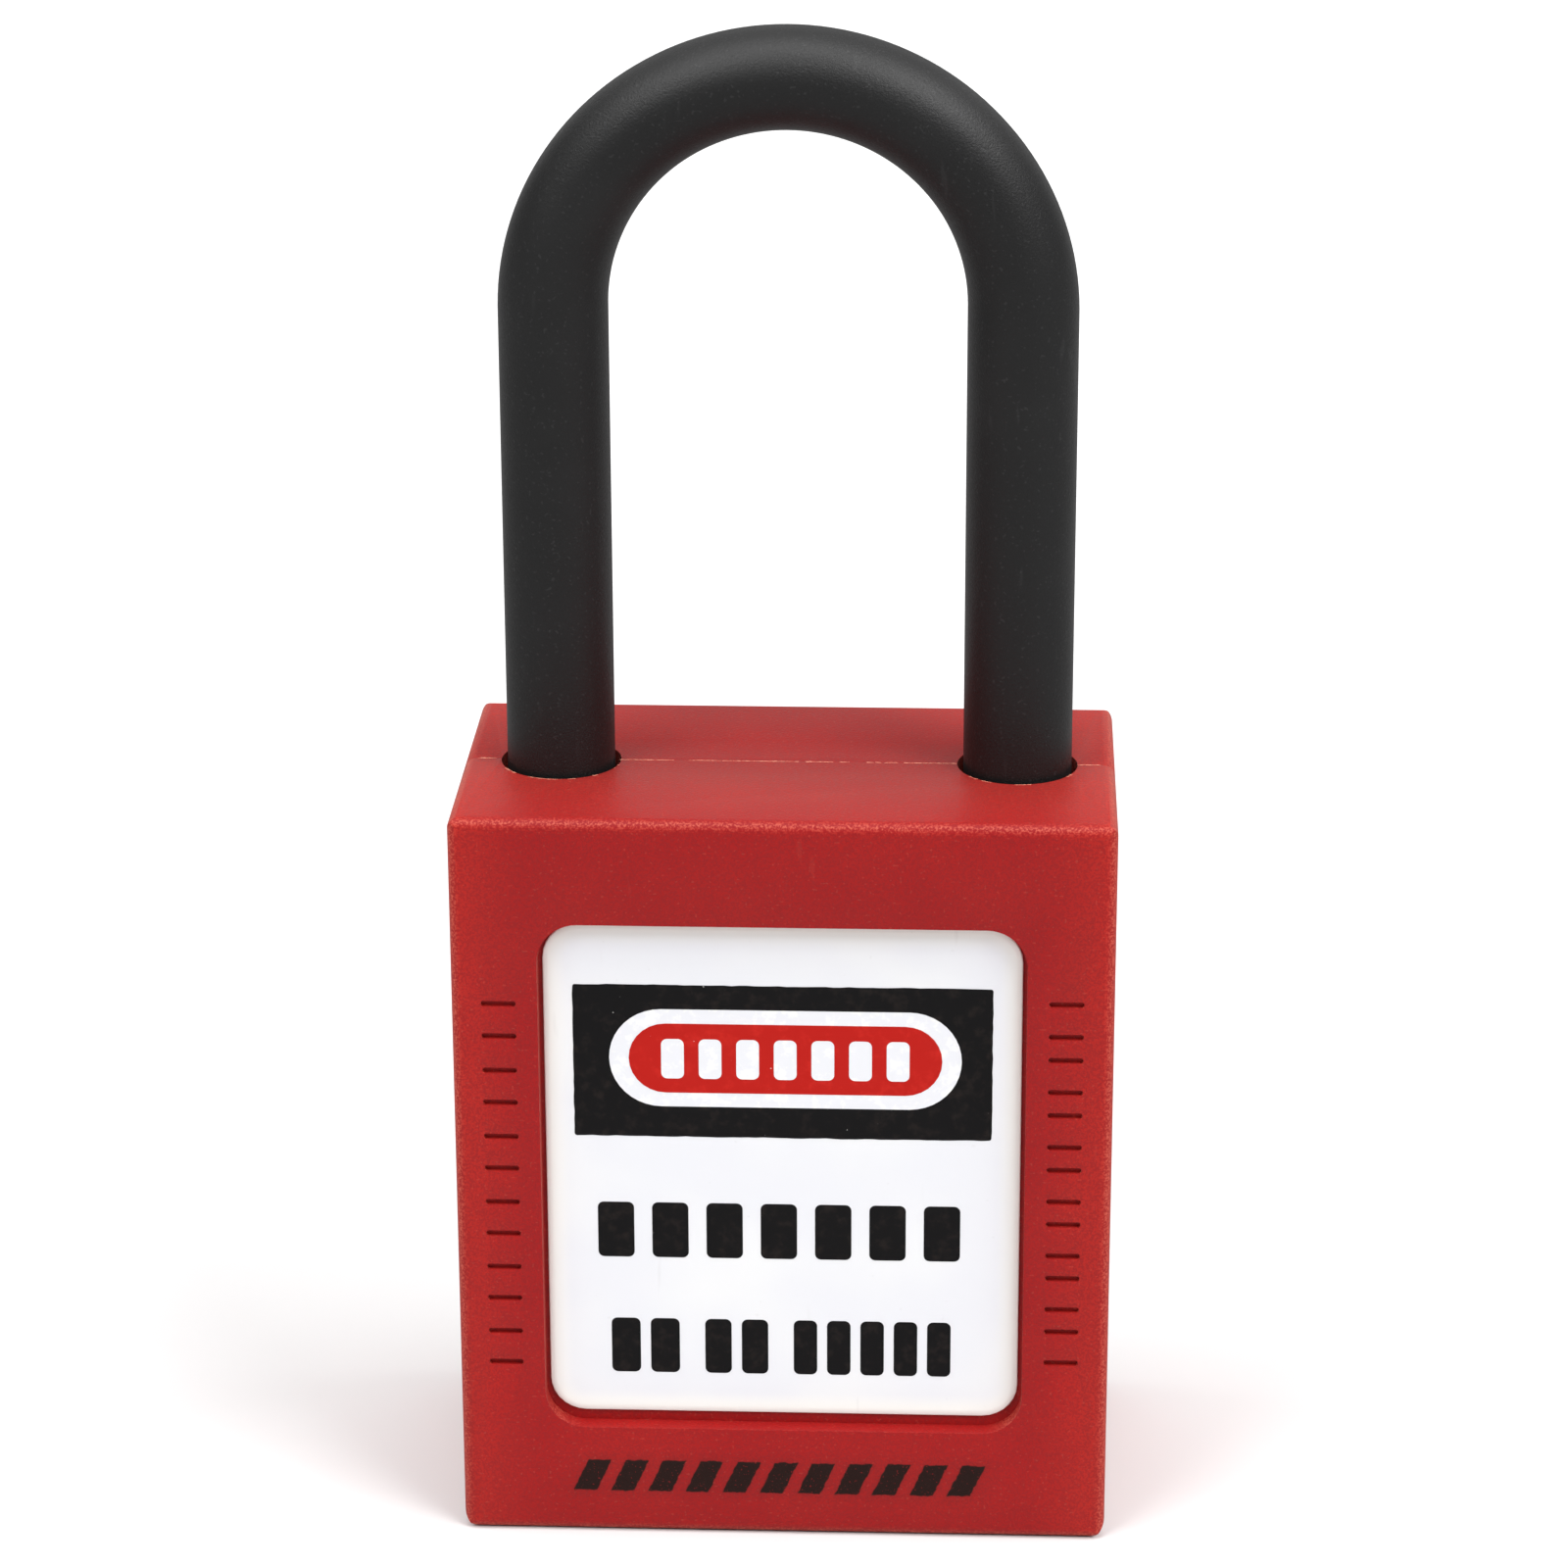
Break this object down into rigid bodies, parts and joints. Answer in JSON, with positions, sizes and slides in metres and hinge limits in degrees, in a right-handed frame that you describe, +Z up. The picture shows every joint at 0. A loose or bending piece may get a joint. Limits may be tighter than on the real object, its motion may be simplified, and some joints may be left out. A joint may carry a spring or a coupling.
{
  "type": "safety padlock",
  "caption": "Safety padlock: moulded nylon body and lifting nylon shackle, with a pin tumbler cylinder that throws a locking bolt through a spiral cam.",
  "frame": {"origin": "centre of the body's bottom face, which it stands on", "axes": "+Z up towards the shackle, +X to the right seen from the front, the labelled front face looks along -Y"},
  "size_m": [0.038, 0.021, 0.0887],
  "materials": {
    "red_nylon": "fine-grained moulded nylon, matte",
    "black_nylon": "fine-grained moulded nylon, satin",
    "label_vinyl": "printed vinyl, semi-matte",
    "brass": "machined",
    "plug_brass": "machined and polished face",
    "pin_brass": "turned",
    "pin_nickel": "nickel plated, turned",
    "spring_steel": "drawn wire",
    "bolt_steel": "ground and zinc plated",
    "screw_steel": "zinc plated",
    "zinc": "die-cast zinc, satin"
  },
  "bodies": {
    "body": {"front_shell": "red_nylon", "rear_shell": "red_nylon", "front_label": "label_vinyl", "rear_label": "label_vinyl", "cylinder_housing": "brass", "chamber_cover": "brass", "lift_spring": "spring_steel", "heel_pin": "bolt_steel", "cylinder_screw": "screw_steel", "driver_pin_1": "pin_nickel", "driver_pin_2": "pin_nickel", "driver_pin_3": "pin_nickel", "driver_pin_4": "pin_nickel", "driver_pin_5": "pin_nickel", "driver_pin_6": "pin_nickel", "pin_spring_1": "spring_steel", "pin_spring_2": "spring_steel", "pin_spring_3": "spring_steel", "pin_spring_4": "spring_steel", "pin_spring_5": "spring_steel", "pin_spring_6": "spring_steel"},
    "shackle": {"shackle": "black_nylon"},
    "plug": {"plug": "plug_brass", "plug_clip": "spring_steel", "cam": "zinc", "cam_screw": "screw_steel", "key_pin_1": "pin_brass", "key_pin_2": "pin_brass", "key_pin_3": "pin_brass", "key_pin_4": "pin_brass", "key_pin_5": "pin_brass", "key_pin_6": "pin_brass"},
    "bolt": {"locking_bolt": "bolt_steel", "bolt_pin": "bolt_steel"}
  },
  "joints": [
    {"name": "shackle_lift", "type": "slide", "parent": "body", "child": "shackle", "axis": [0, 0, 1], "range_m": [0, 0.0115], "deforming": ["lift_spring"]},
    {"name": "plug_turn", "type": "hinge", "parent": "body", "child": "plug", "pos_m": [0, 0, 0.015], "axis": [0, 0, 1], "range_deg": [0, 90]},
    {"name": "bolt_slide", "type": "slide", "parent": "body", "child": "bolt", "axis": [1, 0, 0], "range_m": [0, 0.0024]}
  ],
  "couplings": [
    {"joint": "bolt_slide", "follows": "plug_turn", "m_per_rad": 0.0015278}
  ]
}
